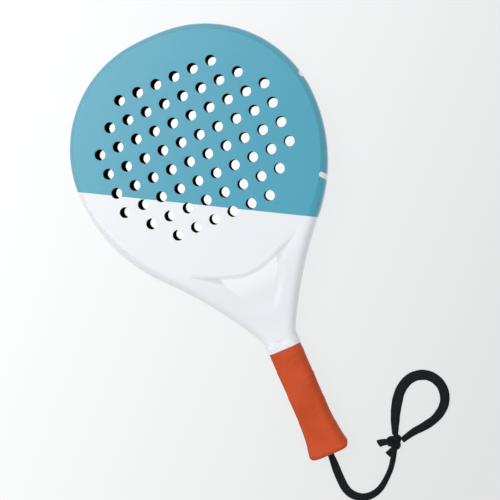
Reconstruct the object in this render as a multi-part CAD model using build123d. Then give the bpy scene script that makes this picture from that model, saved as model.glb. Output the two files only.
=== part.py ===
from build123d import *
import math
import os

# Padel racket lying on its rear face. Millimetres. X runs across the face, Y towards the top of the
# head, Z up out of the front face. Origin: middle of the length and width, on the resting plane.

# ---- driving dimensions -------------------------------------------------------------------------
length = 455.0
thickness = 38.0
neck_thickness = 27.0

# Outline of one side as tangent arcs, from the top of the head to the neck: radius and turn in
# degrees. The first three bulge outwards, the last two are hollow.
outline_arcs = ((225.3, -5.1), (117.6, -82.7), (161.5, -45.1), (426.3, 14.7), (36.7, 28.2))
hollow_arcs = 2
bevel_width = 5.5
bevel_depth = 12.0
tube_width = 17.0
throat_turn = 12.0

# Air holes: a grid drilled a little to the left of the axis, one count for each row from the top.
hole_rows = (6, 8, 10, 10, 10, 10, 8, 6)
hole_diameter = 10.7
hole_pitch_across = 19.65
hole_pitch_along = 20.7
hole_field_x = -1.6
hole_field_y = 108.1

# Face skins and the curved lip where they end above the throat.
skin_thickness = 1.2
lip_radius = 80.7
lip_bottom_y = -26.9
lip_half_angle = 44.5
bridge_width = 10.0
web_recess = 4.4
web_thickness = 1.5

# Thickness taper of the arms, from the throat to the neck.
taper_start_y = -10.0
taper_end_y = -97.0
neck_end_y = -103.0

# Hollow of the frame tube.
channel_outer_inset = 5.5
channel_inner_inset = 12.5
channel_wall = 4.0

# Handle: two legs of the tube, half sizes across and through, and the grip over them.
leg_inner_x = 4.0
leg_half_width = 14.4
leg_half_depth = 12.5
leg_corner = 4.4
leg_wall = 2.0
leg_end_y = -209.0
grip_top_y = -104.0
collar_end_y = -111.0
collar_thickness = 0.5
grip_corner = 5.5
skirt_top_y = -194.0

# Outside of the grip: distance along Y, half width, half depth.
grip_stations = (
    (grip_top_y, 16.3, 14.4),
    (-192.0, 16.5, 14.6),
    (-202.0, 17.3, 15.3),
    (-210.0, 18.3, 16.3),
    (-217.0, 19.5, 17.5),
    (-222.0, 20.3, 18.3),
    (-225.6, 19.6, 17.6),
    (-length / 2, 17.2, 15.2),
)
# Outside of the butt cap, under the grip.
cap_stations = (
    (skirt_top_y, 15.0, 13.1),
    (-202.0, 15.5, 13.5),
    (-210.0, 16.4, 14.4),
    (-217.0, 17.5, 15.5),
    (-222.0, 18.2, 16.2),
    (-length / 2 + 0.6, 15.2, 13.2),
)
cap_corner = 5.0
knot_cavity_diameter = 14.5
knot_cavity_end_y = -222.5
strap_hole_diameter = 8.0

# Staples in the sides of the cap's skirt.
staple_wire = 0.9
staple_span = 10.0
staple_leg = 3.6
staple_y = -200.0

# Wrist strap: a soft tubular cord. It drops from the butt to the resting plane, runs round a
# U-bend to the knot, and closes in a loop for the wrist.
strap_diameter = 6.0
strap_z = strap_diameter / 2
stop_knot_radius = 6.2
stop_knot_y = -218.3
strap_start_y = -220.0
lead_route = (
    (0.0, strap_start_y, thickness / 2),
    (-0.4, -236.8, thickness / 2),
    (-2.6, -253.2, strap_z),
    (-1.6, -270.6, strap_z),
    (11.0, -282.2, strap_z),
    (28.0, -281.6, strap_z),
    (42.5, -270.8, strap_z),
    (52.5, -260.3, strap_z),
    (60.0, -247.5, strap_z),
)
loop_route = (
    (66.0, -235.0, strap_z),
    (71.5, -221.5, strap_z),
    (79.5, -207.0, strap_z),
    (89.5, -194.0, strap_z),
    (105.0, -187.0, strap_z),
    (121.5, -192.5, strap_z),
    (129.5, -207.5, strap_z),
    (126.0, -224.5, strap_z),
    (112.5, -235.5, strap_z),
    (96.0, -239.0, strap_z),
    (82.5, -239.5, strap_z),
    (70.0, -243.0, strap_z),
)
knot_centre = (62.5, -241.0)
knot_radius = 8.5
knot_height = 9.5
tail_diameter = 6.0
tail_routes = (
    ((58.0, -238.6, strap_z), (47.5, -236.0, strap_z)),
    ((60.5, -247.0, strap_z), (52.0, -250.5, strap_z)),
)

middle_z = thickness / 2


# ---- outlines -----------------------------------------------------------------------------------
def side_arcs(inset, arc_count, last_turn=None):
    """Right-hand side of the outline moved inwards, from the top of the head down."""
    arcs = []
    start = (0, length / 2 - inset)
    tangent = (1, 0)
    convex_count = len(outline_arcs) - hollow_arcs
    for number, (radius, turn) in enumerate(outline_arcs[:arc_count]):
        if number == arc_count - 1 and last_turn is not None:
            turn = last_turn
        moved = radius - inset if number < convex_count else radius + inset
        arc = JernArc(start, tangent, moved, turn)
        arcs.append(arc)
        start = arc @ 1
        tangent = arc % 1
    return arcs


def outline_face(inset=0.0, arc_count=5, last_turn=None):
    """Closed face inside the outline moved inwards, cut straight across at its lower end."""
    arcs = side_arcs(inset, arc_count, last_turn)
    end = arcs[-1] @ 1
    closing = Line((end.X, end.Y), (-end.X, end.Y))
    other_side = [mirror(arc, about=Plane.YZ) for arc in arcs]
    return make_face(Curve() + arcs + other_side + closing)


def face_above_arc(bottom_y, radius, half_angle):
    """Everything above a sagging arc whose ends run on as straight tangents."""
    angle = math.radians(half_angle)
    end_x = radius * math.sin(angle)
    end_y = bottom_y + radius * (1 - math.cos(angle))
    far_x = length
    far_y = end_y + (far_x - end_x) * math.tan(angle)
    top_y = far_y + length
    arc = ThreePointArc((-end_x, end_y), (0, bottom_y), (end_x, end_y))
    rest = Polyline(
        (end_x, end_y), (far_x, far_y), (far_x, top_y), (-far_x, top_y), (-far_x, far_y), (-end_x, end_y)
    )
    return make_face(Curve() + arc + rest)


def side_profile(wall):
    """Block that bounds the thickness: full at the head, tapering to the neck, less a wall."""
    rise = (thickness - neck_thickness) / 2
    run = taper_start_y - taper_end_y
    half_turn = math.degrees(2 * math.atan(rise / run))
    radius = run / 2 / math.sin(math.radians(half_turn))
    low = neck_end_y - 10
    high = length / 2 + 10
    top = thickness - wall
    first = JernArc((taper_start_y, top), (-1, 0), radius, half_turn)
    second = JernArc(first @ 1, first % 1, radius, -half_turn)
    end = second @ 1
    upper = [Line((high, top), (taper_start_y, top)), first, second, Line(end, (low, end.Y))]
    lower = [mirror(edge, about=Plane.XZ.offset(-middle_z)) for edge in upper]
    ends = [Line((low, end.Y), (low, thickness - end.Y)), Line((high, top), (high, wall))]
    profile = make_face(Curve() + upper + lower + ends)
    return extrude(Plane.YZ * profile, amount=length / 2, both=True)


def prism(face, low_z, high_z):
    return extrude(Pos(0, 0, low_z) * face, amount=high_z - low_z)


def octagon(y, half_width, half_depth, corner):
    """Section of the handle: a rectangle with its corners cut, square to Y."""
    section = Rectangle(2 * half_width, 2 * half_depth)
    section = chamfer(section.vertices(), length=corner)
    return Plane((0, y, middle_z), x_dir=(1, 0, 0), z_dir=(0, 1, 0)) * section


def handle_loft(stations, corner):
    return loft([octagon(y, width, depth, corner) for y, width, depth in stations], ruled=True)


def along_y(radius, start_y, end_y, x=0.0, z=middle_z):
    """Cylinder along Y between two positions."""
    plane = Plane((x, start_y, z), z_dir=(0, -1, 0))
    return extrude(plane * Circle(radius), amount=start_y - end_y)


# ---- head ---------------------------------------------------------------------------------------
def hole_cutters():
    """One pin for each air hole, through the whole thickness."""
    centres = []
    first_y = hole_field_y + (len(hole_rows) - 1) / 2 * hole_pitch_along
    for row, count in enumerate(hole_rows):
        for column in range(count):
            x = hole_field_x + (column - (count - 1) / 2) * hole_pitch_across
            centres.append((x, first_y - row * hole_pitch_along))
    pins = [Pos(x, y, middle_z) * Cylinder(hole_diameter / 2, thickness + 2) for x, y in centres]
    return Part() + pins


inner_face = outline_face(tube_width, 4, throat_turn)
above_lip = face_above_arc(lip_bottom_y, lip_radius, lip_half_angle)
above_core = face_above_arc(lip_bottom_y + bridge_width, lip_radius - bridge_width, lip_half_angle)
skin_face = outline_face(bevel_width) & above_lip


def make_foam_core(holes):
    block = prism(inner_face & above_core, skin_thickness, thickness - skin_thickness)
    return block - holes


def make_skin(holes, low_z):
    return prism(skin_face, low_z, low_z + skin_thickness) - holes


def make_throat_bridge():
    crescent = (inner_face & above_lip) - above_core
    return prism(crescent, skin_thickness, thickness - skin_thickness)


def throat_layer(low_z, high_z):
    return prism(inner_face - above_lip, low_z, high_z)


# ---- frame tube ---------------------------------------------------------------------------------
def leg_section(inner_x, outer_x, half_depth, corner):
    """Half of the handle's octagon, from the gap in the middle to one side."""
    points = (
        (inner_x, -half_depth),
        (outer_x - corner, -half_depth),
        (outer_x, corner - half_depth),
        (outer_x, half_depth - corner),
        (outer_x - corner, half_depth),
        (inner_x, half_depth),
    )
    return make_face(Polyline(*points, close=True))


def leg(section):
    plane = Plane((0, neck_end_y, middle_z), x_dir=(1, 0, 0), z_dir=(0, -1, 0))
    solid = extrude(plane * section, amount=neck_end_y - leg_end_y)
    return solid + mirror(solid, about=Plane.YZ)


def bevelled_blank():
    """Outline at full thickness with both outer edges bevelled."""
    waist = prism(outline_face(), bevel_depth, thickness - bevel_depth)
    edge = Pos(0, 0, thickness - bevel_depth) * outline_face()
    plateau = Pos(0, 0, thickness) * outline_face(bevel_width)
    upper = loft([edge, plateau], ruled=True)
    lower = mirror(upper, about=Plane.XY.offset(middle_z))
    return waist + upper + lower


def make_frame_tube():
    neck_cut = Pos(0, neck_end_y - length / 2, middle_z) * Box(length, length, 2 * thickness)
    body = (bevelled_blank() & side_profile(0)) - neck_cut
    body -= prism(inner_face, -1, thickness + 1)
    body -= prism(skin_face, -1, skin_thickness)
    body -= prism(skin_face, thickness - skin_thickness, thickness + 1)
    body += leg(leg_section(leg_inner_x, leg_half_width, leg_half_depth, leg_corner))
    band = outline_face(channel_outer_inset) - outline_face(channel_inner_inset)
    channel = (prism(band, 0, thickness) & side_profile(channel_wall)) - neck_cut
    bore = leg_section(
        leg_inner_x + leg_wall, leg_half_width - leg_wall, leg_half_depth - leg_wall, leg_corner - 1
    )
    return body - channel - leg(bore)


# ---- handle -------------------------------------------------------------------------------------
def make_handle_foam():
    size_y = neck_end_y - leg_end_y
    centre_y = (neck_end_y + leg_end_y) / 2
    return Pos(0, centre_y, middle_z) * Box(2 * leg_inner_x, size_y, 2 * leg_half_depth)


def handle_core_envelope(top_y, end_y):
    section = octagon(top_y, leg_half_width, leg_half_depth, leg_corner)
    return extrude(section, amount=end_y - top_y, dir=(0, 1, 0))


def make_base_grip():
    grip = handle_loft(grip_stations, grip_corner)
    grip -= handle_core_envelope(grip_top_y + 1, skirt_top_y - 1)
    lower = list(cap_stations)
    lower[-1] = (-length / 2 - 0.1, lower[-1][1], lower[-1][2])
    return grip - handle_loft(lower, cap_corner)


def make_collar():
    outer = octagon(
        neck_end_y, grip_stations[0][1] + collar_thickness, grip_stations[0][2] + collar_thickness, grip_corner
    )
    band = extrude(outer, amount=collar_end_y - neck_end_y, dir=(0, 1, 0))
    hollow = octagon(neck_end_y + 1, grip_stations[0][1] + 0.02, grip_stations[0][2] + 0.02, grip_corner)
    return band - extrude(hollow, amount=collar_end_y - neck_end_y - 2, dir=(0, 1, 0))


def make_staples():
    """Two wire staples, crown on the skirt's side and legs through it into the tube."""
    wires = []
    for side in (-1, 1):
        crown_x = side * (leg_half_width + 0.5)
        inner_x = crown_x - side * staple_leg
        low = middle_z - staple_span / 2
        high = middle_z + staple_span / 2
        path = Polyline(
            (inner_x, staple_y, low), (crown_x, staple_y, low), (crown_x, staple_y, high), (inner_x, staple_y, high)
        )
        profile = Plane((inner_x, staple_y, low), z_dir=(side, 0, 0)) * Circle(staple_wire / 2)
        wires.append(sweep(profile, path=path, transition=Transition.RIGHT))
    return Part() + wires


def make_butt_cap(staples):
    cap = handle_loft(cap_stations, cap_corner)
    cap -= handle_core_envelope(skirt_top_y + 1, leg_end_y)
    cap -= along_y(knot_cavity_diameter / 2, leg_end_y + 1, knot_cavity_end_y)
    cap -= along_y(strap_hole_diameter / 2, knot_cavity_end_y + 1, -length / 2 - 1)
    return cap - staples


# ---- wrist strap --------------------------------------------------------------------------------
def corner_radii(route):
    """Largest tangent arc that the two runs at each inner point allow."""
    radii = []
    for before, point, after in zip(route, route[1:], route[2:]):
        arriving = Vector(*point) - Vector(*before)
        leaving = Vector(*after) - Vector(*point)
        half_turn = math.radians(arriving.get_angle(leaving)) / 2
        radii.append(0.45 * min(arriving.length, leaving.length) / math.tan(half_turn))
    return radii


def strap_tube(route, diameter):
    """Round tube along straight runs joined by tangent arcs."""
    if len(route) == 2:
        path = Line(*route)
    else:
        radii = corner_radii(route)
        print("  radii", [round(radius, 1) for radius in radii])
        path = FilletPolyline(*route, radius=radii)
    profile = Plane(path @ 0, z_dir=path % 0) * Circle(diameter / 2)
    tube = sweep(profile, path=path)
    ideal = math.pi * diameter**2 / 4 * path.length
    print("  length %.1f, volume over section x length %.4f" % (path.length, tube.volume / ideal))
    return tube


def make_stop_knot():
    ball = Pos(0, stop_knot_y, middle_z) * Sphere(stop_knot_radius)
    beyond = Pos(0, knot_cavity_end_y - 10, middle_z) * Box(20, 20, 20)
    return ball - beyond


def make_knot(strands):
    """Rounded lump that grips the strands entering it."""
    lump = Cylinder(knot_radius, knot_height)
    lump = fillet(lump.edges().filter_by(GeomType.CIRCLE), radius=0.45 * knot_height)
    return Pos(knot_centre[0], knot_centre[1], knot_height / 2) * lump - strands


def make_tails():
    return Part() + [strap_tube(route, tail_diameter) for route in tail_routes]


# ---- build --------------------------------------------------------------------------------------
def build():
    holes = hole_cutters()
    staples = make_staples()
    web_top = thickness - web_recess
    lead = strap_tube(lead_route, strap_diameter)
    loop = strap_tube(loop_route, strap_diameter)
    tails = make_tails() - lead
    return {
        "foam_core": make_foam_core(holes),
        "front_face": make_skin(holes, thickness - skin_thickness),
        "rear_face": make_skin(holes, 0),
        "frame_tube": make_frame_tube() - staples,
        "throat_bridge": make_throat_bridge(),
        "throat_web_front": throat_layer(web_top - web_thickness, web_top),
        "throat_web_rear": throat_layer(web_recess, web_recess + web_thickness),
        "throat_foam": throat_layer(web_recess + web_thickness, web_top - web_thickness),
        "handle_foam": make_handle_foam(),
        "base_grip": make_base_grip(),
        "grip_collar": make_collar(),
        "butt_cap": make_butt_cap(staples),
        "cap_staples": staples,
        "strap_stop_knot": make_stop_knot() - lead,
        "strap_lead": lead,
        "strap_knot": make_knot(lead + loop + tails),
        "strap_loop": loop,
        "strap_tails": tails,
    }


os.makedirs("parts", exist_ok=True)
for node, shape in build().items():
    export_step(shape, "parts/" + node + ".step")
    box = shape.bounding_box()
    print(node, [round(value, 1) for value in (*box.min, *box.max)], "volume", round(shape.volume))
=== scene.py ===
import math

import bpy
import numpy as np
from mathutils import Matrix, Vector, geometry, noise


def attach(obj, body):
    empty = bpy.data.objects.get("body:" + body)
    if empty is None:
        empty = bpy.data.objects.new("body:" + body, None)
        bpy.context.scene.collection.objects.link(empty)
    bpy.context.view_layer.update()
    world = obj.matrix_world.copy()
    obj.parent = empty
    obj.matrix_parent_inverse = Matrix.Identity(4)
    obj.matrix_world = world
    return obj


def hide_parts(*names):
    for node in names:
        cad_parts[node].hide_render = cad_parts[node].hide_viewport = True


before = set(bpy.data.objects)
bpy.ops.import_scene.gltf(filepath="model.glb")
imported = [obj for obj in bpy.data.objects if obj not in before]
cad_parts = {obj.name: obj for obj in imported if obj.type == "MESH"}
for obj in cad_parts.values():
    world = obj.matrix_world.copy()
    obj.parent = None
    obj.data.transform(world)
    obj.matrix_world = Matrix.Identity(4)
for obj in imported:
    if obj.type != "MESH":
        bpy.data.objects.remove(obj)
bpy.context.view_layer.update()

# Lengths are in millimetres unless a name or comment says otherwise: X across the face, Y towards the
# head's top, Z up out of the front face. METRES turns them into Blender's metres.
METRES = 0.001

# ---- racket dimensions
HALF_LENGTH = 227.5
THICKNESS = 38.0
MIDDLE_Z = THICKNESS / 2
SKIN = 1.2
# Arcs down the right side from the head's top: radius, turn in degrees (negative bends to the right).
OUTLINE_ARCS = ((225.3, -5.1), (117.6, -82.7), (161.5, -45.1), (426.3, 14.7), (36.7, 28.2))
# The arms get thinner by NECK_DROP on each face between these two places.
NECK_DROP = 5.5
TAPER_START_Y = -10.0
TAPER_END_Y = -97.0

# Width of the frame's edge in front view, and height of the head's chamfer.
HEAD_BEVEL = 5.5
ARM_BEVEL = 10.5
CHAMFER_DROP = 7.0

HOLE_ROWS = (6, 8, 10, 10, 10, 10, 8, 6)
HOLE_RADIUS = 5.35
HOLE_PITCH_X = 19.65
HOLE_PITCH_Y = 20.7
HOLE_FIELD_X = -1.6
HOLE_FIELD_Y = 108.1
HOLE_FIELD_REACH = 104.0
HOLE_RIM_DEPTH = 0.06

# Lower edge of the face: a wide V with a round bottom, blended into the throat on both sides.
LIP_BOTTOM_Y = -26.65
LIP_SLOPE = 0.55
LIP_ROUND = 14.0
LIP_TIP_X = 56.6
LIP_INSIDE = 2.5
LIP_OUTSIDE = 2.0

# Throat: a V-shaped pocket whose web falls from WEB_TOP_Z to WEB_LOW_Z, between sloping walls.
POCKET_TOP_Y = -80.0
POCKET_SLOPE = 1.75
POCKET_ROUND = 10.0
POCKET_CORNER_X = 35.8
WEB_TOP_Z = 36.9
WEB_LOW_Z = 33.6
WEB_FALL_Y = -22.0
WEB_FALL_LENGTH = 42.0
CRISP_WALL = 21.0
SOFT_WALL = 10.0
SOFT_FROM_Y = -26.0
SOFT_LENGTH = 18.0
EDGE_FADE = 4.0

# Slanted line between blue and white: its height at X 0 and its rise for each unit of X.
PAINT_LINE_Y = 43.8
PAINT_LINE_SLOPE = -0.565
# Painted marks on the frame's right edge: inner end, direction outwards, half width.
LOWER_MARK = ((102.7, 34.3), (0.63, -0.776), 2.5)
UPPER_MARK = ((125.7, 133.7), (0.96, 0.28), 4.0)

# ---- strap routes: the points of the CAD tubes, with lower floor runs because the cord is flattened,
# and the lead's first bends moved up along with the visible end of the grip
FLAT_Z = 2.3
LEAD_ROUTE = (
    (0.0, -217.0, 19.0),
    (-0.4, -233.6, 19.0),
    (-2.6, -251.0, FLAT_Z),
    (-1.6, -270.6, FLAT_Z),
    (11.0, -282.2, FLAT_Z),
    (28.0, -281.6, FLAT_Z),
    (42.5, -270.8, FLAT_Z),
    (52.5, -260.3, FLAT_Z),
    (60.0, -247.5, 3.2),
)
LOOP_ROUTE = (
    (66.0, -235.0, 3.2),
    (71.5, -221.5, FLAT_Z),
    (79.5, -207.0, FLAT_Z),
    (89.5, -194.0, FLAT_Z),
    (105.0, -187.0, FLAT_Z),
    (121.5, -192.5, FLAT_Z),
    (129.5, -207.5, FLAT_Z),
    (126.0, -224.5, FLAT_Z),
    (112.5, -235.5, FLAT_Z),
    (96.0, -239.0, FLAT_Z),
    (82.5, -239.5, FLAT_Z),
    (70.0, -243.0, 3.2),
)
STRAP_STEP = 0.8
KNOT_CENTRE = (62.5, -241.0, 4.9)


def curve(t, start, middle, end):
    """Point at t from 0 to 1 on a simple bend from start to end."""
    return (1 - t) ** 2 * start + 2 * t * (1 - t) * middle + t**2 * end


def ease(t):
    """Smooth step from 0 to 1."""
    t = np.clip(t, 0.0, 1.0)
    return t * t * (3 - 2 * t)


def link(thing):
    bpy.context.scene.collection.objects.link(thing)


# ---- camera
CAMERA_PLACE = (0.1327, 0.0281, 1.7792)
CAMERA_TURN = (-2.652, 3.291, -23.564)
CAMERA_LENS = 127.59


def make_camera():
    """Camera above the racket; place in metres, turn in degrees."""
    data = bpy.data.cameras.new("camera")
    data.lens = CAMERA_LENS
    data.sensor_width = 36.0
    data.clip_start = 0.05
    data.clip_end = 50.0
    data.dof.use_dof = False
    camera = bpy.data.objects.new("camera", data)
    camera.location = CAMERA_PLACE
    camera.rotation_euler = [math.radians(turn) for turn in CAMERA_TURN]
    link(camera)
    bpy.context.scene.camera = camera


make_camera()


# ---- node helpers
def smooth_range(tree, low, high, out_low, out_high):
    """Node with a smooth step between two values of its input."""
    node = tree.nodes.new("ShaderNodeMapRange")
    node.interpolation_type = "SMOOTHSTEP"
    limits = {"From Min": low, "From Max": high, "To Min": out_low, "To Max": out_high}
    for name, number in limits.items():
        node.inputs[name].default_value = number
    return node


class Nodes:
    """Short-hand for building one material's node tree."""

    def __init__(self, name):
        self.material = bpy.data.materials.new(name)
        self.material.use_nodes = True
        self.tree = self.material.node_tree
        self.shader = self.tree.nodes["Principled BSDF"]
        self.coordinates = self.tree.nodes.new("ShaderNodeTexCoord")

    def put(self, socket, value):
        if isinstance(value, bpy.types.NodeSocket):
            self.tree.links.new(value, socket)
        elif socket.type == "RGBA" and len(value) == 3:
            socket.default_value = (*value, 1.0)
        else:
            socket.default_value = value

    def shade(self, **settings):
        """Sets the shader's sockets and returns the finished material."""
        for name, value in settings.items():
            self.put(self.shader.inputs[name.replace("_", " ")], value)
        return self.material

    def math(self, operation, first, second=0.0, third=0.0):
        node = self.tree.nodes.new("ShaderNodeMath")
        node.operation = operation
        for socket, value in zip(node.inputs, (first, second, third)):
            self.put(socket, value)
        return node.outputs[0]

    def plus(self, first, second):
        return self.math("ADD", first, second)

    def minus(self, first, second):
        return self.math("SUBTRACT", first, second)

    def times(self, first, second):
        return self.math("MULTIPLY", first, second)

    def length(self, first, second):
        """Length of a flat vector."""
        return self.math("SQRT", self.plus(self.times(first, first), self.times(second, second)))

    def ramp(self, value, low, high, out_low=0.0, out_high=1.0):
        node = smooth_range(self.tree, low, high, out_low, out_high)
        self.put(node.inputs["Value"], value)
        return node.outputs["Result"]

    def mix(self, factor, first, second):
        node = self.tree.nodes.new("ShaderNodeMix")
        node.data_type = "RGBA"
        self.put(node.inputs["Factor"], factor)
        self.put(node.inputs[6], first)
        self.put(node.inputs[7], second)
        return node.outputs[2]

    def noise(self, scale, detail=2.0, roughness=0.5):
        node = self.tree.nodes.new("ShaderNodeTexNoise")
        node.inputs["Scale"].default_value = scale
        node.inputs["Detail"].default_value = detail
        node.inputs["Roughness"].default_value = roughness
        self.put(node.inputs["Vector"], self.coordinates.outputs["Object"])
        return node.outputs["Fac"]

    def voronoi(self, scale):
        node = self.tree.nodes.new("ShaderNodeTexVoronoi")
        node.inputs["Scale"].default_value = scale
        self.put(node.inputs["Vector"], self.coordinates.outputs["Object"])
        return node.outputs["Distance"]

    def axes(self, kind="Object"):
        """X, Y and Z of a kind of coordinates."""
        node = self.tree.nodes.new("ShaderNodeSeparateXYZ")
        self.put(node.inputs[0], self.coordinates.outputs[kind])
        return node.outputs

    def bump(self, height, distance, strength=1.0):
        node = self.tree.nodes.new("ShaderNodeBump")
        node.inputs["Strength"].default_value = strength
        node.inputs["Distance"].default_value = distance
        self.put(node.inputs["Height"], height)
        self.put(self.shader.inputs["Normal"], node.outputs["Normal"])


# ---- materials
BLUE = (0.042, 0.303, 0.414)
BLUE_DEEP = (0.037, 0.292, 0.403)
WHITE = (0.730, 0.745, 0.762)
WHITE_SOFT = (0.718, 0.733, 0.751)
# Painted light for the upper part of the throat web.
WHITE_PAINTED_LIGHT = (0.800, 0.815, 0.828)
# Painted shade for the throat's corners under the lip.
WHITE_PAINTED_SHADE = (0.610, 0.625, 0.640)
HOLE_BLACK = (0.004, 0.004, 0.004)


def capsule(nodes, x, y, start, direction, half_width):
    """1 inside a bar with a round end that starts at a point and runs on in a direction."""
    right = nodes.minus(x, start[0] * METRES)
    up = nodes.minus(y, start[1] * METRES)
    along = nodes.plus(nodes.times(right, direction[0]), nodes.times(up, direction[1]))
    across = nodes.minus(nodes.times(right, direction[1]), nodes.times(up, direction[0]))
    behind = nodes.math("MINIMUM", along, 0.0)
    edge = half_width * METRES
    return nodes.ramp(nodes.length(behind, across), edge - 0.0001, edge + 0.0001, 1.0, 0.0)


# Painted shade in the throat's corners: where it starts and ends, its widening and lean, and its soft edges.
CORNER_START = (0.0292, 0.0318)
CORNER_END = 0.060
CORNER_WIDEN = 0.29
CORNER_LEAN = 0.25
CORNER_LOW_EDGE = (-0.0022, 0.0006)
CORNER_TOP_EDGE = (0.0, 0.0015)


def corner_painted_shade(nodes, x, y):
    """1 in the two corners of the throat, close under the lip: painted shade that darkens these concave
    corners.
    """
    rise = nodes.length(nodes.times(x, LIP_SLOPE), LIP_ROUND * METRES)
    lip = nodes.plus(rise, (LIP_BOTTOM_Y - LIP_ROUND) * METRES)
    below = nodes.minus(lip, y)
    side = nodes.math("ABSOLUTE", x)
    width = nodes.times(nodes.minus(CORNER_END, side), CORNER_WIDEN)
    within = nodes.ramp(nodes.minus(below, width), *CORNER_LOW_EDGE, 1.0, 0.0)
    start = nodes.ramp(below, *CORNER_TOP_EDGE)
    inner = nodes.ramp(nodes.math("MULTIPLY_ADD", below, CORNER_LEAN, side), *CORNER_START)
    return nodes.times(nodes.times(within, start), inner)


def hole_walls(nodes, x, y, z):
    """1 on the walls of the air holes, below the face's surface."""
    away = nodes.length(x, nodes.minus(y, HOLE_FIELD_Y * METRES))
    near = nodes.math("LESS_THAN", away, HOLE_FIELD_REACH * METRES)
    off_middle = nodes.math("ABSOLUTE", nodes.minus(z, MIDDLE_Z * METRES))
    return nodes.times(near, nodes.math("LESS_THAN", off_middle, (MIDDLE_Z - HOLE_RIM_DEPTH) * METRES))


def make_paint(name, with_marks=False, painted_light_web=False, cut_holes=False):
    """Satin two-colour paint under a clear coat, split along a slanted line."""
    nodes = Nodes(name)
    x, y, z = nodes.axes()
    line = nodes.minus(nodes.minus(y, PAINT_LINE_Y * METRES), nodes.times(x, PAINT_LINE_SLOPE))
    is_blue = nodes.ramp(line, -0.00012, 0.00012)
    cloud = nodes.noise(9.0, 3.0)
    blue = nodes.mix(nodes.ramp(cloud, 0.3, 0.7), BLUE, BLUE_DEEP)
    white = nodes.mix(nodes.ramp(cloud, 0.3, 0.7), WHITE, WHITE_SOFT)
    # Painted light: the web's white is lighter towards the lip, where more light falls on it.
    if painted_light_web:
        white = nodes.mix(nodes.ramp(y, -0.056, -0.030), white, WHITE_PAINTED_LIGHT)
    # Painted shade: the white is darkened in the throat's corners under the lip.
    white = nodes.mix(corner_painted_shade(nodes, x, y), white, WHITE_PAINTED_SHADE)
    colour = nodes.mix(is_blue, white, blue)
    if with_marks:
        marks = [capsule(nodes, x, y, *mark) for mark in (LOWER_MARK, UPPER_MARK)]
        colour = nodes.mix(nodes.math("MAXIMUM", *marks), colour, WHITE)
    if cut_holes:
        colour = nodes.mix(hole_walls(nodes, x, y, z), colour, HOLE_BLACK)
    nodes.bump(nodes.noise(420.0), 0.00003, 0.35)
    roughness = nodes.ramp(nodes.noise(160.0, 3.0), 0.25, 0.75, 0.34, 0.44)
    return nodes.shade(
        Base_Color=colour,
        Roughness=roughness,
        Specular_IOR_Level=0.22,
        Coat_Weight=0.85,
        Coat_Roughness=0.17,
        Coat_IOR=1.5,
    )


def make_foam():
    """Black closed-cell foam."""
    nodes = Nodes("black_foam")
    cells = nodes.voronoi(1400.0)
    colour = nodes.mix(nodes.ramp(cells, 0.1, 0.6), (0.0022, 0.0022, 0.0024), (0.0045, 0.0045, 0.0050))
    nodes.bump(cells, 0.00012, 0.6)
    return nodes.shade(Base_Color=colour, Roughness=0.95, Specular_IOR_Level=0.0)


def make_laminate():
    """Bare composite inside the frame."""
    nodes = Nodes("bare_laminate")
    x, y, _ = nodes.axes()
    weave = nodes.math("SINE", nodes.times(nodes.plus(x, y), 2500.0))
    colour = nodes.mix(nodes.ramp(weave, -0.6, 0.6), (0.010, 0.010, 0.011), (0.022, 0.022, 0.024))
    nodes.bump(weave, 0.00005, 0.5)
    return nodes.shade(Base_Color=colour, Roughness=0.5)


def make_orange():
    """Soft polyurethane grip with a fine pebble and patches of slightly darker orange."""
    nodes = Nodes("orange_grip")
    cloud = nodes.noise(38.0, 4.0, 0.6)
    colour = nodes.mix(nodes.ramp(cloud, 0.3, 0.72), (0.520, 0.076, 0.025), (0.450, 0.060, 0.018))
    pebble = nodes.plus(nodes.noise(1500.0), nodes.times(nodes.voronoi(900.0), 0.5))
    nodes.bump(pebble, 0.00006, 0.5)
    roughness = nodes.ramp(nodes.noise(240.0), 0.3, 0.7, 0.50, 0.62)
    return nodes.shade(Base_Color=colour, Roughness=roughness, Specular_IOR_Level=0.05)


def make_collar_film():
    """Thin milky elastic band with fine wrinkles across it."""
    nodes = Nodes("collar_band")
    wrinkle = nodes.noise(900.0, 3.0)
    streak = nodes.noise(220.0)
    colour = nodes.mix(nodes.ramp(streak, 0.35, 0.65), (0.72, 0.735, 0.745), (0.67, 0.69, 0.705))
    nodes.bump(nodes.plus(wrinkle, streak), 0.0002, 0.5)
    return nodes.shade(
        Base_Color=colour,
        Roughness=0.42,
        Specular_IOR_Level=0.3,
        Coat_Weight=0.15,
        Coat_Roughness=0.25,
    )


def make_cap_plastic():
    """Black moulded plastic with a fine grain."""
    nodes = Nodes("cap_plastic")
    grain = nodes.noise(1800.0)
    cloud = nodes.noise(60.0, 3.0)
    colour = nodes.mix(nodes.ramp(cloud, 0.3, 0.7), (0.012, 0.012, 0.013), (0.018, 0.018, 0.019))
    nodes.bump(grain, 0.00004, 0.6)
    return nodes.shade(Base_Color=colour, Roughness=0.48)


def make_staple_steel():
    """Plain bright wire."""
    nodes = Nodes("staple_steel")
    colour = nodes.mix(nodes.noise(900.0), (0.50, 0.50, 0.52), (0.62, 0.62, 0.63))
    return nodes.shade(Base_Color=colour, Roughness=0.35, Metallic=1.0)


BRAID_STRANDS = 11
BRAID_TURNS_PER_MM = 0.62


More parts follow.
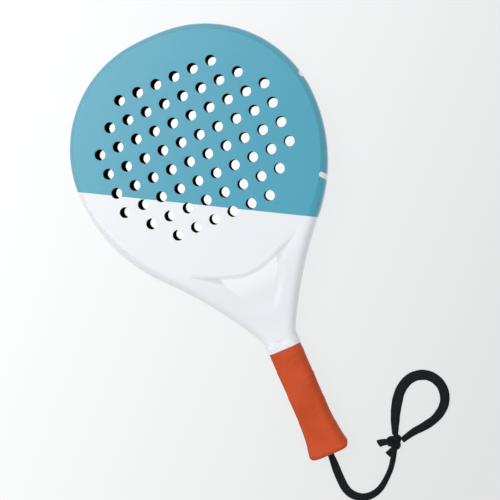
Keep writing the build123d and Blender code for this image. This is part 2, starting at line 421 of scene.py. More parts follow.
def make_cord_weave():
    """Black braided tubular cord: crossing ribs that follow the cord's own length."""
    nodes = Nodes("black_braid")
    across, along, _ = nodes.axes("UV")
    turns = nodes.times(across, 2 * math.pi * BRAID_STRANDS)
    travel = nodes.times(along, 2 * math.pi * BRAID_TURNS_PER_MM)
    one = nodes.math("SINE", nodes.plus(turns, travel))
    other = nodes.math("SINE", nodes.minus(turns, travel))
    braid = nodes.math("MAXIMUM", one, other)
    fuzz = nodes.noise(2600.0)
    height = nodes.plus(braid, nodes.times(fuzz, 0.8))
    colour = nodes.mix(nodes.ramp(height, -0.4, 1.6), (0.0008, 0.0008, 0.0011), (0.0060, 0.0062, 0.0085))
    nodes.bump(height, 0.00018, 0.7)
    return nodes.shade(
        Base_Color=colour,
        Roughness=0.62,
        Specular_IOR_Level=0.16,
        Sheen_Weight=0.03,
        Sheen_Roughness=0.4,
        Sheen_Tint=(0.55, 0.60, 0.68),
    )


face_paint = make_paint("two_colour_face_paint", cut_holes=True)
frame_paint = make_paint("two_colour_frame_paint", with_marks=True)
web_paint = make_paint("white_web_paint", painted_light_web=True)
foam = make_foam()
laminate = make_laminate()
orange = make_orange()
collar_film = make_collar_film()
cap_plastic = make_cap_plastic()
staple_steel = make_staple_steel()
braid = make_cord_weave()


# ---- mesh helpers
def add_mesh(name, points, faces, material, stands_for=(), normals=None, coordinates=None):
    """New smooth piece on the racket; coordinates are the weave's (turn, millimetres along) at each point."""
    places = (np.asarray(points, float) * METRES).tolist()
    mesh = bpy.data.meshes.new(name)
    mesh.from_pydata(places, [], [tuple(map(int, face)) for face in faces])
    mesh.materials.append(material)
    mesh.shade_smooth()
    if coordinates is not None:
        layer = mesh.uv_layers.new(name="along")
        for loop in mesh.loops:
            layer.data[loop.index].uv = coordinates[loop.vertex_index]
    if normals is not None:
        mesh.normals_split_custom_set_from_vertices(np.asarray(normals, float).tolist())
    mesh.update()
    piece = bpy.data.objects.new(name, mesh)
    link(piece)
    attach(piece, "root")
    if stands_for:
        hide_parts(*stands_for)
    return piece


def grid_faces(rows, columns, start=0, closed=False):
    """Quads of a grid of points stored row by row; closed joins the last column to the first."""
    faces = []
    for row in range(rows - 1):
        for column in range(columns if closed else columns - 1):
            following = (column + 1) % columns
            first = start + row * columns
            second = first + columns
            faces.append((first + column, first + following, second + following, second + column))
    return faces


def inside(points, polygon):
    """Which points lie in a closed polygon, by counting crossings."""
    points = np.asarray(points)
    polygon = np.asarray(polygon)
    found = np.zeros(len(points), bool)
    for (x0, y0), (x1, y1) in zip(polygon, np.roll(polygon, -1, axis=0)):
        crosses = (y0 > points[:, 1]) != (y1 > points[:, 1])
        if y0 != y1:
            at_x = x0 + (points[:, 1] - y0) * (x1 - x0) / (y1 - y0)
            found ^= crosses & (points[:, 0] < at_x)
    return found


def triangulate(boundary, interior, holes=()):
    """Delaunay triangles inside a boundary and outside holes; the boundary's points come first."""
    loops = [np.asarray(boundary), *[np.asarray(hole) for hole in holes]]
    edges = []
    start = 0
    for loop in loops:
        edges += [(start + k, start + (k + 1) % len(loop)) for k in range(len(loop))]
        start += len(loop)
    every = np.concatenate([*loops, np.asarray(interior).reshape(-1, 2)])
    made = geometry.delaunay_2d_cdt([Vector(p) for p in every], edges, [], 0, 1e-5)
    points = np.array([tuple(p) for p in made[0]])
    faces = np.array([tuple(face) for face in made[2]])
    middles = points[faces].mean(axis=1)
    kept = inside(middles, loops[0])
    for hole in loops[1:]:
        near = np.abs(middles - hole.mean(axis=0)).max(axis=1) < 20
        kept[near] &= ~inside(middles[near], hole)
    faces = faces[kept]
    edge_a = points[faces[:, 1]] - points[faces[:, 0]]
    edge_b = points[faces[:, 2]] - points[faces[:, 0]]
    area = edge_a[:, 0] * edge_b[:, 1] - edge_a[:, 1] * edge_b[:, 0]
    faces[area < 0] = faces[area < 0][:, ::-1]
    return points, faces[np.abs(area) > 1e-3]


def flip_to_rear(points, faces, normals=None):
    """Mirror through the racket's middle plane."""
    faces = [face[::-1] for face in faces]
    if normals is not None:
        normals = normals * (1, 1, -1)
    return points * (1, 1, -1) + (0, 0, THICKNESS), faces, normals


# ---- outline and heights
def right_side(step):
    """Points down the outline's right side from the head's top to the neck, with outward normals."""
    corner = np.array([0.0, HALF_LENGTH])
    heading = 0.0
    points, normals = [], []
    for radius, turn in OUTLINE_ARCS:
        bend = math.radians(turn)
        sign = math.copysign(1, bend)
        left = np.array([-math.sin(heading), math.cos(heading)])
        centre = corner + sign * radius * left
        count = max(3, round(radius * abs(bend) / step))
        for k in range(count + 1):
            angle = heading + bend * k / count
            normal = np.array([-math.sin(angle), math.cos(angle)])
            if k < count:
                points.append(centre - sign * radius * normal)
                normals.append(normal)
        heading += bend
        corner = centre - sign * radius * np.array([-math.sin(heading), math.cos(heading)])
    points.append(corner)
    normals.append(np.array([-math.sin(heading), math.cos(heading)]))
    return np.array(points), np.array(normals)


def whole_outline(step):
    """The outline from the left of the neck over the head to the right of the neck."""
    return [np.concatenate([(side * (-1, 1))[::-1][:-1], side]) for side in right_side(step)]


def bevel_width(y):
    return HEAD_BEVEL + (ARM_BEVEL - HEAD_BEVEL) * ease((95 - y) / 120)


def edge_groove(y):
    """Depth of the fine line where the face skin meets the frame on the head."""
    return 0.3 * ease((y - 50) / 30)


def top_height(y):
    """Height of the frame's top, which drops down the arms to the neck."""
    return THICKNESS - NECK_DROP * ease((TAPER_START_Y - y) / (TAPER_START_Y - TAPER_END_Y))


def pocket_edge(x):
    """Y of the lower edge of the throat's pocket: a rounded V."""
    return POCKET_TOP_Y + np.sqrt((POCKET_SLOPE * x) ** 2 + POCKET_ROUND**2)


def recess(x, y):
    """Depth of the hollow in the throat below the arms' top: the web and the arms' sloping inner walls."""
    slope = POCKET_SLOPE**2 * x / np.sqrt((POCKET_SLOPE * x) ** 2 + POCKET_ROUND**2)
    outside = (pocket_edge(x) - y) / np.sqrt(1 + slope**2)
    web = WEB_LOW_Z + (WEB_TOP_Z - WEB_LOW_Z) * (1 - ease((WEB_FALL_Y - y) / WEB_FALL_LENGTH))
    depth = np.maximum(top_height(y) - web, 0.0)
    soft = ease((SOFT_FROM_Y - y) / SOFT_LENGTH)
    crisp_wall = 1 - (1 - np.clip(outside / CRISP_WALL, 0.0, 1.0)) ** 2
    soft_wall = ease(outside / SOFT_WALL)
    return depth * (1 - crisp_wall * (1 - soft) - soft_wall * soft)


def throat_height(x, y):
    """Height of the throat's surface; the hollow fades out where it meets the frame's edge."""
    gap = np.min(np.hypot(x[:, None] - plateau[None, :, 0], y[:, None] - plateau[None, :, 1]), axis=1)
    return top_height(y) - recess(x, y) * ease(gap / EDGE_FADE)


def throat_normals(points):
    """Unit normals of the throat's surface, from its slopes."""
    delta = 0.05
    x, y = points[:, 0], points[:, 1]
    slope_x = (throat_height(x + delta, y) - throat_height(x - delta, y)) / (2 * delta)
    slope_y = (throat_height(x, y + delta) - throat_height(x, y - delta)) / (2 * delta)
    normals = np.stack([-slope_x, -slope_y, np.ones(len(x))], axis=1)
    return normals / np.linalg.norm(normals, axis=1)[:, None]


# ---- head panels
def lip_points(xs):
    """Points of the lip: a wide V with a round bottom."""
    return np.stack([xs, LIP_BOTTOM_Y - LIP_ROUND + np.hypot(LIP_SLOPE * xs, LIP_ROUND)], axis=1)


def lip_slopes(xs):
    return LIP_SLOPE**2 * xs / np.hypot(LIP_SLOPE * xs, LIP_ROUND)


outline, outline_normals = whole_outline(2.0)
plateau = outline - bevel_width(outline[:, 1])[:, None] * outline_normals


def plateau_join():
    """Index on the right of the plateau's edge where the straight run of the lip meets it."""
    tip = lip_points(np.array([LIP_TIP_X]))[0]
    rise = float(lip_slopes(LIP_TIP_X))
    middle = len(plateau) // 2
    for k in range(middle, len(plateau)):
        x, y = plateau[k]
        if y < tip[1] + (x - tip[0]) * rise:
            return k - 1
    raise ValueError("the lip never meets the edge")


join = plateau_join()
left_join = len(plateau) - 1 - join
lip_xs = np.linspace(-LIP_TIP_X, LIP_TIP_X, 121)
lip_line = lip_points(lip_xs)


def straight(start, end, step):
    """Points from start to end without either end."""
    count = max(2, int(np.linalg.norm(np.subtract(end, start)) / step))
    return [np.array(start) + (np.array(end) - start) * k / count for k in range(1, count)]


def hole_centres():
    """Centres of the air holes, row by row from the top."""
    first = HOLE_FIELD_Y + (len(HOLE_ROWS) - 1) / 2 * HOLE_PITCH_Y
    return [
        (HOLE_FIELD_X + (column - (count - 1) / 2) * HOLE_PITCH_X, first - row * HOLE_PITCH_Y)
        for row, count in enumerate(HOLE_ROWS)
        for column in range(count)
    ]


def circle(centre, radius, count):
    angles = np.arange(count) * 2 * math.pi / count
    return np.array(centre) + radius * np.stack([np.cos(angles), np.sin(angles)], axis=1)


# Rounded rim of a hole, from the flat face down to the skin's underside: (outwards, down).
HOLE_RIM = ((0.6, 0.0), (0.18, 0.0), (0.08, 0.03), (0.02, 0.09), (0.0, 0.2), (0.0, SKIN + 0.05))
# Fine step between face and frame: (inwards, share of its depth).
RIM_STEP = ((1.0, 0.0), (0.55, 0.0), (0.25, 0.25), (0.0, 1.0))
HOLE_SIDES = 40


def ring_strip(points, faces, rings, closed):
    """Adds quads through rings of the same count, each an array of 3-D points."""
    start = len(points)
    count = len(rings[0])
    for ring in rings:
        points.extend(ring.tolist())
    faces.extend(grid_faces(len(rings), count, start, closed))


def with_height(flat, height):
    return np.column_stack([flat, np.full(len(flat), height)])


def make_panel():
    """Flat skin with rounded hole rims, a fine edge to the frame and a rounded lip over the throat."""
    rim = plateau[left_join : join + 1]
    rim_normals = outline_normals[left_join : join + 1]
    right_run = straight(plateau[join], lip_line[-1], 3.0)
    slopes = lip_slopes(lip_xs)
    lip_out = np.stack([slopes, -np.ones(len(slopes))], axis=1) / np.sqrt(1 + slopes**2)[:, None]
    inner_lip = lip_line - LIP_INSIDE * lip_out
    inner_rim = rim - RIM_STEP[0][0] * rim_normals
    boundary = np.concatenate([inner_rim[1:-1], inner_lip[::-1]])
    hole_rings = [circle(centre, HOLE_RADIUS + HOLE_RIM[0][0], HOLE_SIDES) for centre in hole_centres()]
    flat, triangles = triangulate(boundary, np.zeros((0, 2)), hole_rings)
    points = with_height(flat, THICKNESS).tolist()
    faces = [tuple(face) for face in triangles]
    depth = edge_groove(rim[:, 1])
    rings = []
    for inward, share in RIM_STEP:
        flat_ring = rim - inward * rim_normals
        rings.append(np.column_stack([flat_ring, THICKNESS - share * depth]))
    ring_strip(points, faces, [ring[1:-1] for ring in rings], False)
    rings = []
    for t in np.linspace(0, 1, 15):
        flat_ring = lip_line + (t * (LIP_INSIDE + LIP_OUTSIDE) - LIP_INSIDE) * lip_out
        below = throat_height(flat_ring[:, 0], flat_ring[:, 1])
        rings.append(np.column_stack([flat_ring, THICKNESS + (below - THICKNESS) * ease(t) + 0.03]))
    rings[0][:, 2] = THICKNESS
    rings.append(rings[-1] - (0.0, 0.0, 0.6))
    ring_strip(points, faces, [ring[::-1] for ring in rings], False)
    for centre in hole_centres():
        rings = []
        for out, drop in HOLE_RIM:
            ring = circle(centre, HOLE_RADIUS + out, HOLE_SIDES)
            rings.append(with_height(ring, THICKNESS - drop)[::-1])
        ring_strip(points, faces, rings, True)
    for side in (1, -1):
        corner_points, corner_faces = side_sliver(side, rim, inner_rim, inner_lip, right_run)
        offset = len(points)
        points.extend(corner_points)
        faces.extend(tuple(offset + k for k in face) for face in corner_faces)
    return np.array(points), faces


def side_sliver(side, rim, inner_rim, inner_lip, right_run):
    """Flat corner between the lip's end, the frame's edge and the large flat part of the face."""
    polygon = np.array([inner_rim[-2], rim[-2], rim[-1], *right_run, lip_line[-1], inner_lip[-1]])
    flat, triangles = triangulate(polygon, np.zeros((0, 2)))
    if side < 0:
        flat = flat * (-1, 1)
        triangles = triangles[:, ::-1]
    return with_height(flat, THICKNESS).tolist(), [tuple(face) for face in triangles]


def make_head_panels():
    points, faces = make_panel()
    add_mesh("front_face_skin", points, faces, face_paint, ["front_face"])
    points, faces, _ = flip_to_rear(points, faces)
    add_mesh("rear_face_skin", points, faces, face_paint, ["rear_face"])


# ---- frame shell and throat
def edge_profile(t, inset, top, crisp):
    """Depth inside the outline and height along the frame's edge, t from 0 at the top to 1 at mid height.

    The head has a flat chamfer that turns down into the side (crisp 1); the arms are rounded (crisp 0).
    """
    round_depth = (1 - t) ** 2 * inset
    round_height = curve(t, top, top, MIDDLE_Z)
    knee_depth, knee_height = 0.5, top - CHAMFER_DROP
    start = np.clip(t / 0.3, 0, 1) * 0.68
    turn = np.clip((t - 0.3) / 0.5, 0, 1)
    rest = 0.35 + 0.65 * np.clip((t - 0.8) / 0.2, 0, 1)
    line_depth = inset + (knee_depth - inset) * start
    line_height = top + (knee_height - top) * start
    end_depth, end_height = knee_depth * 0.65, knee_height + (MIDDLE_Z - knee_height) * 0.35
    bend_depth = curve(turn, line_depth, knee_depth, end_depth)
    bend_height = curve(turn, line_height, knee_height, end_height)
    low_depth, low_height = knee_depth * (1 - rest), knee_height + (MIDDLE_Z - knee_height) * rest
    chamfer_depth = np.where(t > 0.8, low_depth, bend_depth)
    chamfer_height = np.where(t > 0.8, low_height, bend_height)
    depth = round_depth + (chamfer_depth - round_depth) * crisp
    return depth, round_height + (chamfer_height - round_height) * crisp


def band():
    """The frame's outside, from the front plateau round the side to the rear plateau."""
    inset = bevel_width(outline[:, 1])[:, None]
    top = top_height(plateau[:, 1])[:, None] - edge_groove(plateau[:, 1])[:, None]
    crisp = ease((outline[:, 1] + 15) / 90)[:, None]
    steps = (np.linspace(0, 0.3, 4), np.linspace(0.3, 0.8, 9)[1:], np.linspace(0.8, 1, 4)[1:])
    t = np.concatenate(steps)[None, :]

    def place(at):
        depth, height = edge_profile(at, inset, top, crisp)
        flat = outline[:, None, :] - depth[:, :, None] * outline_normals[:, None, :]
        return np.concatenate([flat, height[:, :, None]], axis=2)

    front = place(t)
    across = place(np.minimum(t + 0.004, 1)) - place(np.maximum(t - 0.004, 0))
    along = np.gradient(front, axis=0)
    normals = np.cross(across, along)
    normals /= np.linalg.norm(normals, axis=2)[:, :, None]
    if normals[len(outline) // 2, 0, 2] < 0:
        normals = -normals
    rear = front[:, -2::-1] * (1, 1, -1) + (0, 0, THICKNESS)
    rear_normals = normals[:, -2::-1] * (1, 1, -1)
    return np.concatenate([front, rear], axis=1), np.concatenate([normals, rear_normals], axis=1)


def web_outline():
    """Boundary of the throat web: the lip's arc above and the pocket's edge below."""
    top_arc = lip_points(np.linspace(-POCKET_CORNER_X, POCKET_CORNER_X, 61))
    sweep = np.linspace(POCKET_CORNER_X, -POCKET_CORNER_X, 81)
    return top_arc, np.stack([sweep, pocket_edge(sweep)], axis=1)


def relief(boundary, spacing):
    """Triangulated height field over part of the throat."""
    low = boundary.min(axis=0)
    high = boundary.max(axis=0)
    xs = np.arange(low[0] + spacing / 2, high[0], spacing)
    ys = np.arange(low[1] + spacing / 2, high[1], spacing * 0.866)
    grid = np.array([(x + (k % 2) * spacing / 2, y) for k, y in enumerate(ys) for x in xs])
    grid = grid[inside(grid, boundary)]
    gaps = np.min(np.linalg.norm(grid[:, None, :] - boundary[None, :, :], axis=2), axis=1)
    grid = grid[gaps > 0.55 * spacing]
    flat, faces = triangulate(boundary, grid)
    height = throat_height(flat[:, 0], flat[:, 1])
    return np.column_stack([flat, height]), [tuple(face) for face in faces], throat_normals(flat)


THROAT_STEP = 1.5


def arms_boundary(top_arc, lower):
    """Closed line round both arms: the frame's edge outside, the lip and the web's lower edge inside."""
    right_run = straight(plateau[join], lip_line[-1], 3.0)
    left_run = straight(lip_line[0], plateau[left_join], 3.0)
    parts = [
        plateau[: left_join + 1],
        left_run[::-1],
        lip_line[lip_line[:, 0] < top_arc[0][0] - 0.4],
        lower[::-1],
        lip_line[lip_line[:, 0] > top_arc[-1][0] + 0.4],
        right_run[::-1],
        plateau[join:],
        straight(plateau[-1], plateau[0], THROAT_STEP),
    ]
    return np.concatenate([np.array(part) for part in parts])


def make_frame_and_throat():
    """Frame with the arms' surfaces front and rear in one piece, and the two webs between the arms."""
    band_points, band_normals = band()
    points = band_points.reshape(-1, 3)
    normals = band_normals.reshape(-1, 3)
    faces = [face[::-1] for face in grid_faces(*band_points.shape[:2])]
    top_arc, lower = web_outline()
    front = relief(arms_boundary(top_arc, lower), THROAT_STEP)
    for side_points, side_faces, side_normals in (front, flip_to_rear(*front)):
        offset = len(points)
        faces += [tuple(offset + k for k in face) for face in side_faces]
        points = np.concatenate([points, side_points])
        normals = np.concatenate([normals, side_normals])
    add_mesh("frame_shell", points, faces, frame_paint, ["frame_tube"], normals)
    front = relief(np.concatenate([top_arc, lower[1:-1]]), THROAT_STEP)
    for side, (points, faces, normals) in (("front", front), ("rear", flip_to_rear(*front))):
        node = f"throat_web_{side}"
        add_mesh(f"{node}_skin", points, faces, web_paint, [node], normals)


make_head_panels()
make_frame_and_throat()

# ---- handle
RING = 96
GRIP_TOP_Y = -105.5
GRIP_END_Y = -224.0
GRIP_CORNER = 5.0
# How much less deep than wide the grip is on each side.
GRIP_NARROWER = 2.0
WRAP_PITCH = 27.0
WRAP_SEAM_Y = -123.5


def distances(points):
    """Distance along a line to each of its points."""
    return np.concatenate([[0], np.cumsum(np.linalg.norm(np.diff(points, axis=0), axis=1))])


def by_length(points, count):
    """Resamples a closed line to points at equal steps along it."""
    closed = np.concatenate([points, points[:1]])
    travel = distances(closed)
    wanted = np.linspace(0, travel[-1], count, endpoint=False)
    return np.stack([np.interp(wanted, travel, closed[:, k]) for k in range(2)], axis=1)


def soft_octagon(half_width, half_depth, cut=5.5, soften=1.7):
    """Section of the grip: an octagon with its corners smoothed, from +X towards +Z."""
    w, d = half_width, half_depth
    corners = [
        (w, 0), (w, d - cut), (w - cut, d), (cut - w, d), (-w, d - cut),
        (-w, cut - d), (cut - w, -d), (w - cut, -d), (w, cut - d),
    ]
    ring = by_length(np.array(corners, float), RING)
    step = np.linalg.norm(ring[1] - ring[0])
    waves = np.fft.fft(ring[:, 0] + 1j * ring[:, 1])
    turns = np.fft.fftfreq(RING) * 2 * math.pi
    smooth = np.fft.ifft(waves * np.exp(-0.5 * (turns * soften / step) ** 2))
    return np.stack([smooth.real, smooth.imag], axis=1)


def superellipse(half_width, half_depth, power):
    """Section between an ellipse (power 2) and a rectangle."""
    angles = np.linspace(0, 2 * math.pi, 720, endpoint=False)
    c, s = np.cos(angles), np.sin(angles)
    x = half_width * np.sign(c) * np.abs(c) ** (2 / power)
    z = half_depth * np.sign(s) * np.abs(s) ** (2 / power)
    return by_length(np.stack([x, z], axis=1), RING)


def stack(rings):
    """Points and quads through (y, ring) sections of the handle."""
    sections = [np.column_stack([ring[:, 0], np.full(RING, y), ring[:, 1] + MIDDLE_Z]) for y, ring in rings]
    faces = grid_faces(len(rings), RING, 0, True)
    return np.concatenate(sections), [face[::-1] for face in faces]


def outward(points, rows):
    """Unit directions away from the handle's axis, square to it."""
    away = points.reshape(rows, RING, 3) - (0, 0, MIDDLE_Z)
    away[:, :, 1] = 0
    return (away / np.linalg.norm(away, axis=2)[:, :, None]).reshape(-1, 3)


def unevenness(points, scale, shift=(0, 0, 0)):
    """Smooth noise at each point, from about -1 to 1."""
    return np.array([noise.noise(Vector(place)) for place in points * scale + shift])


def make_grip():
    """Wrapped grip: a flared handle with the spiral seam of the wrap and a rolled end."""
    stations = np.array(
        [(-102, 16.3), (-183, 16.35), (-190, 16.65), (-199, 17.3), (-207, 18.2), (-214, 19.3), (-219, 20.4)]
    )
    ys = np.arange(GRIP_TOP_Y, GRIP_END_Y + GRIP_CORNER, -0.8)
    fine = np.linspace(-102, -219.0, 400)
    width = np.interp(-fine, -stations[:, 0], stations[:, 1])
    kernel = np.exp(-np.linspace(-2, 2, 25) ** 2)
    padded = np.concatenate([np.full(12, width[0]), width, width[-1] + 0.05 * np.arange(1, 13)])
    width = np.convolve(padded, kernel / kernel.sum(), "valid")
    rings = []
    for y in ys:
        half = float(np.interp(-y, -fine, width))
        rings.append((y, soft_octagon(half, half - GRIP_NARROWER)))
    for turn in np.linspace(0, math.pi / 2, 9)[1:]:
        shrink = GRIP_CORNER * (1 - math.cos(turn))
        half = width[-1] - shrink
        y = GRIP_END_Y + GRIP_CORNER * (1 - math.sin(turn))
        rings.append((y, soft_octagon(half, half - GRIP_NARROWER, 5.5 - 0.2 * shrink)))
    rings.append((GRIP_END_Y + 0.3, soft_octagon(14.7, 12.7, 4.4)))
    rings.append((GRIP_END_Y + 1.8, soft_octagon(14.5, 12.5, 4.4)))
    points, faces = stack(rings)
    away = outward(points, len(rings))
    angle = np.arctan2(points[:, 2] - MIDDLE_Z, points[:, 0])
    travel = (WRAP_SEAM_Y - points[:, 1]) / WRAP_PITCH - (angle - math.pi / 2) / (2 * math.pi)
    past = (travel - np.floor(travel)) * WRAP_PITCH
    seam = 0.42 * ease(past / 1.1) * np.exp(-past / 7.0) - 0.16 * np.exp(-(((WRAP_PITCH - past) / 1.0) ** 2))
    fade = ease((points[:, 1] - GRIP_END_Y - 3.0) / 8.0)
    soft = unevenness(points, 0.06) * 0.18
    points += away * ((seam * fade + soft * fade)[:, None])
    add_mesh("base_grip_wrap", points, faces, orange, ["base_grip"])


def make_collar():
    """Thin milky band over the joint of neck and grip, with a crinkled upper edge."""
    neck = superellipse(16.95, 13.9, 3.06)
    lower = soft_octagon(16.85, 14.95)
    ys = np.linspace(-100.1, -109.7, 25)
    rings = [(ys[0] - 0.2, neck * 0.965), (ys[0] - 0.03, neck * 0.988)]
    for y in ys:
        share = float(ease((ys[0] - y) / 6.0))
        rings.append((y, neck * (1 - share) + lower * share))
    rings.append((ys[-1] - 0.12, lower * 0.994))
    rings.append((ys[-1] - 0.12, lower * 0.965))
    points, faces = stack(rings)
    away = outward(points, len(rings))
    crinkle = np.abs(unevenness(points, (0.3, 0.55, 0.3)))
    fine = np.abs(unevenness(points, (0.9, 1.3, 0.9), (0, 40, 0)))
    near_top = ease((points[:, 1] + 106.0) / 5.0)
    points += away * ((0.10 + 0.45 * near_top) * crinkle + (0.05 + 0.20 * near_top) * fine)[:, None]
    edge = unevenness(points, (0.22, 0, 0.22), (0, 7, 0))
    points[:, 1] += 1.5 * edge * near_top
    add_mesh("grip_collar_band", points, faces, collar_film, ["grip_collar"])


def make_cap():
    """Moulded end plate: a rounded rim, a raised ring and the strap's hole."""
    circle_ring = superellipse(1.0, 1.0, 2.0)
    plate = soft_octagon(14.7, 12.7, 4.4)
    rings = [
        (3.0, plate), (1.3, plate), (0.7, plate * 0.985), (0.45, plate * 0.955),
        (0.45, plate * 0.9), (0.75, plate * 0.87), (0.75, plate * 0.7),
    ]
    rim = ((8.3, 0.75), (7.9, 0.5), (7.5, 0.1), (7.0, 0.0), (5.0, 0.0), (4.5, 0.1), (4.15, 0.4), (4.0, 0.9))
    rings.extend((y, circle_ring * radius) for radius, y in (*rim, (4.0, 8.0)))
    rings = [(GRIP_END_Y + y, ring) for y, ring in rings]
    points, faces = stack(rings)
    add_mesh("butt_cap_plate", points, faces, cap_plastic, ["butt_cap"])


make_grip()
make_collar()
make_cap()


# ---- wrist strap
CORD_SIDES = 20
NEXT_SIDE = [(k + 1) % CORD_SIDES for k in range(CORD_SIDES)]


def centreline(route):
    """Points along the route's NURBS spline, in millimetres."""
    data = bpy.data.curves.new("route", "CURVE")
    data.dimensions = "3D"
    data.resolution_u = 16
    spline = data.splines.new("NURBS")
    spline.points.add(len(route) - 1)
    for point, place in zip(spline.points, route):
        point.co = (*[METRES * c for c in place], 1.0)
    spline.order_u = 3
    spline.use_endpoint_u = True
    holder = bpy.data.objects.new("route", data)
    link(holder)
    mesh = bpy.data.meshes.new_from_object(holder)
    points = np.array([v.co for v in mesh.vertices]) / METRES
    bpy.data.objects.remove(holder)
    bpy.data.curves.remove(data)
    bpy.data.meshes.remove(mesh)
    return points


def even(points, step):
    """Resamples an open line to equal steps."""
    travel = distances(points)
    count = max(6, int(travel[-1] / step))
    wanted = np.linspace(0, travel[-1], count + 1)
    return np.stack([np.interp(wanted, travel, points[:, k]) for k in range(3)], axis=1), wanted


def flat_cord(path, travel, half_width, half_depth, twist, seed, closed=False):
    """Tube of a flattened round cord. Sizes and twist (degrees) are given for each point of the path."""
    if closed:
        tangents = np.roll(path, -1, axis=0) - np.roll(path, 1, axis=0)
    else:
        tangents = np.gradient(path, axis=0)
    tangents /= np.linalg.norm(tangents, axis=1)[:, None]
    flat = np.cross(np.array([0.0, 0.0, 1.0]), tangents)
    flat /= np.linalg.norm(flat, axis=1)[:, None]
    rise = np.cross(tangents, flat)
    turn = np.radians(twist)[:, None]
    wide = flat * np.cos(turn) + rise * np.sin(turn)
    thin = rise * np.cos(turn) - flat * np.sin(turn)
    angles = np.linspace(0, 2 * math.pi, CORD_SIDES, endpoint=False)
    c, s = np.cos(angles), np.sin(angles)
    across = np.sign(c) * np.abs(c) ** 0.86
    through = np.sign(s) * np.abs(s) ** 0.9 * (1 - 0.22 * np.exp(-((c / 0.34) ** 2)))
    points, coordinates = [], []
    for k, place in enumerate(path):
        wobble = 1 + 0.05 * noise.noise(Vector((travel[k] * 0.13, seed, 0.0)))
        wide_part = half_width[k] * wobble * across[:, None] * wide[k]
        thin_part = half_depth[k] / wobble * through[:, None] * thin[k]
        points.append(place + wide_part + thin_part)
        coordinates += [(angle / (2 * math.pi), travel[k]) for angle in angles]
    faces = grid_faces(len(path), CORD_SIDES, 0, True)
    if closed:
        last = (len(path) - 1) * CORD_SIDES
        faces += [(last + k, last + after, after, k) for k, after in enumerate(NEXT_SIDE)]
    return np.concatenate(points), faces, coordinates


def close_ends(points, faces):
    """Domed ends of a cut and heat-sealed cord."""
    points = list(map(np.array, points))
    last = len(points) - CORD_SIDES
    for first, inner, order in ((0, CORD_SIDES, -1), (last, last - CORD_SIDES, 1)):
        ring = np.array(points[first : first + CORD_SIDES])
        before = np.array(points[inner : inner + CORD_SIDES])
        middle = ring.mean(axis=0)
        ahead = middle - before.mean(axis=0)
        ahead /= np.linalg.norm(ahead)
        start = first
        for share, out in ((0.8, 0.35), (0.4, 0.6)):
            offset = len(points)
            points.extend(middle + (ring - middle) * share + ahead * out)
            for k, after in enumerate(NEXT_SIDE):
                faces.append((start + k, start + after, offset + after, offset + k)[::order])
            start = offset
        offset = len(points)
        points.append(middle + ahead * 0.65)
        for k, after in enumerate(NEXT_SIDE):
            faces.append((start + k, start + after, offset)[::order])
    return np.array(points), faces


def add_strap(name, points, faces, coordinates, stands_for=()):
    """Piece of the strap; points added at its ends take the last coordinates of the weave."""
    coordinates += [coordinates[-1]] * (len(points) - len(coordinates))
    return add_mesh(name, points, faces, braid, stands_for, None, coordinates)


def resting(path, half_width, half_depth, twist):
    """Lifts a path so that the flattened cord lies on the floor and never goes through it."""
    turn = np.radians(np.abs(twist))
    needed = half_width * np.sin(turn) + half_depth * np.cos(turn) + 0.2
    lifted = path.copy()
    lifted[:, 2] = np.maximum(path[:, 2], needed)
    return lifted


def make_run(name, node, route, widths, depths, twists, seed):
    """Long run of the strap; half widths, half depths and twists are (shares of its length, values)."""
    path, travel = even(centreline(route), STRAP_STEP)
    share = travel / travel[-1]
    half_width = np.interp(share, *widths)
    half_depth = np.interp(share, *depths)
    twist = np.interp(share, *twists)
    path = resting(path, half_width, half_depth, twist)
    made = flat_cord(path, travel, half_width, half_depth, twist, seed)
    return add_strap(name, *made, [node]), path


def make_lead():
    shares = (0, 0.08, 0.2, 0.45, 0.62, 0.8, 1)
    widths = (shares, (3.2, 3.4, 4.3, 4.4, 3.8, 3.0, 2.9))
    depths = (shares, (2.4, 2.3, 1.9, 1.9, 2.1, 2.3, 2.4))
    twists = ((0, 0.3, 0.55, 0.75, 1), (0, 3, 10, 26, 24))
    return make_run("wrist_strap_lead", "strap_lead", LEAD_ROUTE, widths, depths, twists, 1.0)


def make_loop():
    shares = (0, 0.07, 0.16, 0.4, 0.62, 0.85, 1)
    widths = (shares, (3.0, 4.4, 5.3, 5.2, 4.9, 4.4, 3.0))
    depths = (shares, (2.3, 2.0, 1.7, 1.7, 1.8, 1.9, 2.3))
    twists = ((0, 0.25, 0.5, 0.8, 1), (4, -5, 6, -6, 0))
    return make_run("wrist_strap_loop", "strap_loop", LOOP_ROUTE, widths, depths, twists, 5.0)


def make_knot():
    """Overhand knot drawn tight: a flattened trefoil of the same cord."""
    count = 150
    t = np.linspace(0, 2 * math.pi, count, endpoint=False)
    x = 1.9 * (np.sin(t) + 2 * np.sin(2 * t))
    y = 1.9 * (np.cos(t) - 2 * np.cos(2 * t))
    path = np.stack([x, y, -2.1 * np.sin(3 * t)], axis=1) + np.array(KNOT_CENTRE)
    travel = np.arange(count) * 0.62
    half_width = np.full(count, 2.9)
    half_depth = np.full(count, 2.35)
    made = flat_cord(path, travel, half_width, half_depth, 25 * np.sin(2 * t), 9.0, True)
    return add_strap("strap_overhand_knot", *made, ["strap_knot"])


def make_tail(name, start, middle, tip, seed):
    """Short free end of the strap along a curve from the knot to the tip."""
    t = np.linspace(0, 1, 24)[:, None]
    path = curve(t, *np.array([start, middle, tip]))
    travel = distances(path)
    share = travel / travel[-1]
    half_width = np.interp(share, (0, 0.4, 1), (2.4, 3.3, 3.9))
    half_depth = np.interp(share, (0, 0.4, 1), (2.0, 1.6, 1.1))
    twist = np.interp(share, (0, 1), (20, -8))
    path = resting(path, half_width, half_depth, twist)
    points, faces, coordinates = flat_cord(path, travel, half_width, half_depth, twist, seed)
    return add_strap(name, *close_ends(points, faces), coordinates)


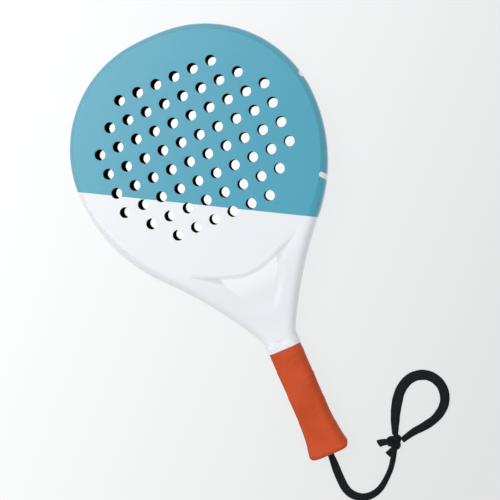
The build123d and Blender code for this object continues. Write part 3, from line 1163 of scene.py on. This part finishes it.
lead, lead_path = make_lead()
loop, loop_path = make_loop()
knot = make_knot()
left_tail = make_tail("strap_tail_left", (58.5, -239.5, 5.0), (52.5, -236.5, 5.4), (47.0, -237.0, 2.2), 2.0)
lower_tail = make_tail("strap_tail_lower", (60.5, -246.0, 5.0), (56.0, -249.5, 5.0), (51.5, -251.0, 2.0), 3.0)
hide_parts("strap_tails")


# ---- CAD nodes that stay
def paint_node(name, material):
    """Gives an inner solid its material."""
    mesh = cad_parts[name].data
    mesh.materials.clear()
    mesh.materials.append(material)


for node in ("foam_core", "throat_foam", "handle_foam"):
    paint_node(node, foam)
paint_node("throat_bridge", laminate)
paint_node("cap_staples", staple_steel)
paint_node("strap_stop_knot", braid)


# ---- studio
ROOM_LOW = 0.44
ROOM_HIGH = 0.56
# Direction and strength of the broad source and of the fill light from the side.
SOURCE = (-0.34, 0.36, 0.869)
SOURCE_STRENGTH = 4.4
FILL = (0.93, -0.37, 0.0)
FILL_STRENGTH = 0.40
# The floor's glow: in the middle, its rise for each metre to the upper left, its limits, and what is
# added under the holes, fading between two distances in metres.
GLOW_MIDDLE = 0.837
GLOW_RISE = 0.319
GLOW_LOW = 0.70
GLOW_HIGH = 0.97
GLOW_HOLES = 0.13
GLOW_HOLES_REACH = (0.085, 0.110)
FLOOR_SIZE = 6.0
FLOOR_DROP = 0.0003


def make_floor():
    """Plain pale floor that glows a little, so that it stays white under the racket and in the holes."""
    nodes = Nodes("pale_floor")
    x, y, _ = nodes.axes()
    glow = nodes.math("MULTIPLY_ADD", nodes.minus(y, x), GLOW_RISE, GLOW_MIDDLE)
    glow = nodes.math("MINIMUM", nodes.math("MAXIMUM", glow, GLOW_LOW), GLOW_HIGH)
    away = nodes.length(x, nodes.minus(y, HOLE_FIELD_Y * METRES))
    glow = nodes.plus(glow, nodes.ramp(away, *GLOW_HOLES_REACH, GLOW_HOLES, 0.0))
    material = nodes.shade(
        Base_Color=(0.06, 0.06, 0.06),
        Roughness=1.0,
        Specular_IOR_Level=0.0,
        Emission_Color=(0.985, 0.995, 1.0),
        Emission_Strength=glow,
    )
    mesh = bpy.data.meshes.new("floor")
    corners = [(x * FLOOR_SIZE, y * FLOOR_SIZE, 0.0) for x, y in ((-1, -1), (1, -1), (1, 1), (-1, 1))]
    mesh.from_pydata(corners, [], [(0, 1, 2, 3)])
    mesh.materials.append(material)
    floor = bpy.data.objects.new("floor", mesh)
    link(floor)
    floor.location.z = -FLOOR_DROP


def make_world():
    """Room light that falls off towards the horizon, with one broad soft source above the head's left."""
    world = bpy.data.worlds.new("studio")
    world.use_nodes = True
    tree = world.node_tree
    coordinates = tree.nodes.new("ShaderNodeTexCoord")

    def towards(direction, low, high, weak, strong):
        facing = tree.nodes.new("ShaderNodeVectorMath")
        facing.operation = "DOT_PRODUCT"
        facing.inputs[1].default_value = direction
        rise = smooth_range(tree, low, high, weak, strong)
        tree.links.new(coordinates.outputs["Generated"], facing.inputs[0])
        tree.links.new(facing.outputs["Value"], rise.inputs["Value"])
        return rise.outputs["Result"]

    parts = (
        towards((0.0, 0.0, 1.0), -0.1, 0.95, ROOM_LOW, ROOM_HIGH),
        towards(SOURCE, 0.880, 0.96, 0.0, SOURCE_STRENGTH),
        towards(FILL, 0.35, 1.0, 0.0, FILL_STRENGTH),
    )
    strength = parts[0]
    for part in parts[1:]:
        total = tree.nodes.new("ShaderNodeMath")
        total.operation = "ADD"
        tree.links.new(strength, total.inputs[0])
        tree.links.new(part, total.inputs[1])
        strength = total.outputs[0]
    background = tree.nodes["Background"]
    background.inputs["Color"].default_value = (0.97, 0.985, 1.0, 1.0)
    tree.links.new(strength, background.inputs["Strength"])
    bpy.context.scene.world = world


make_floor()
make_world()
bpy.context.scene.view_settings.view_transform = "Standard"
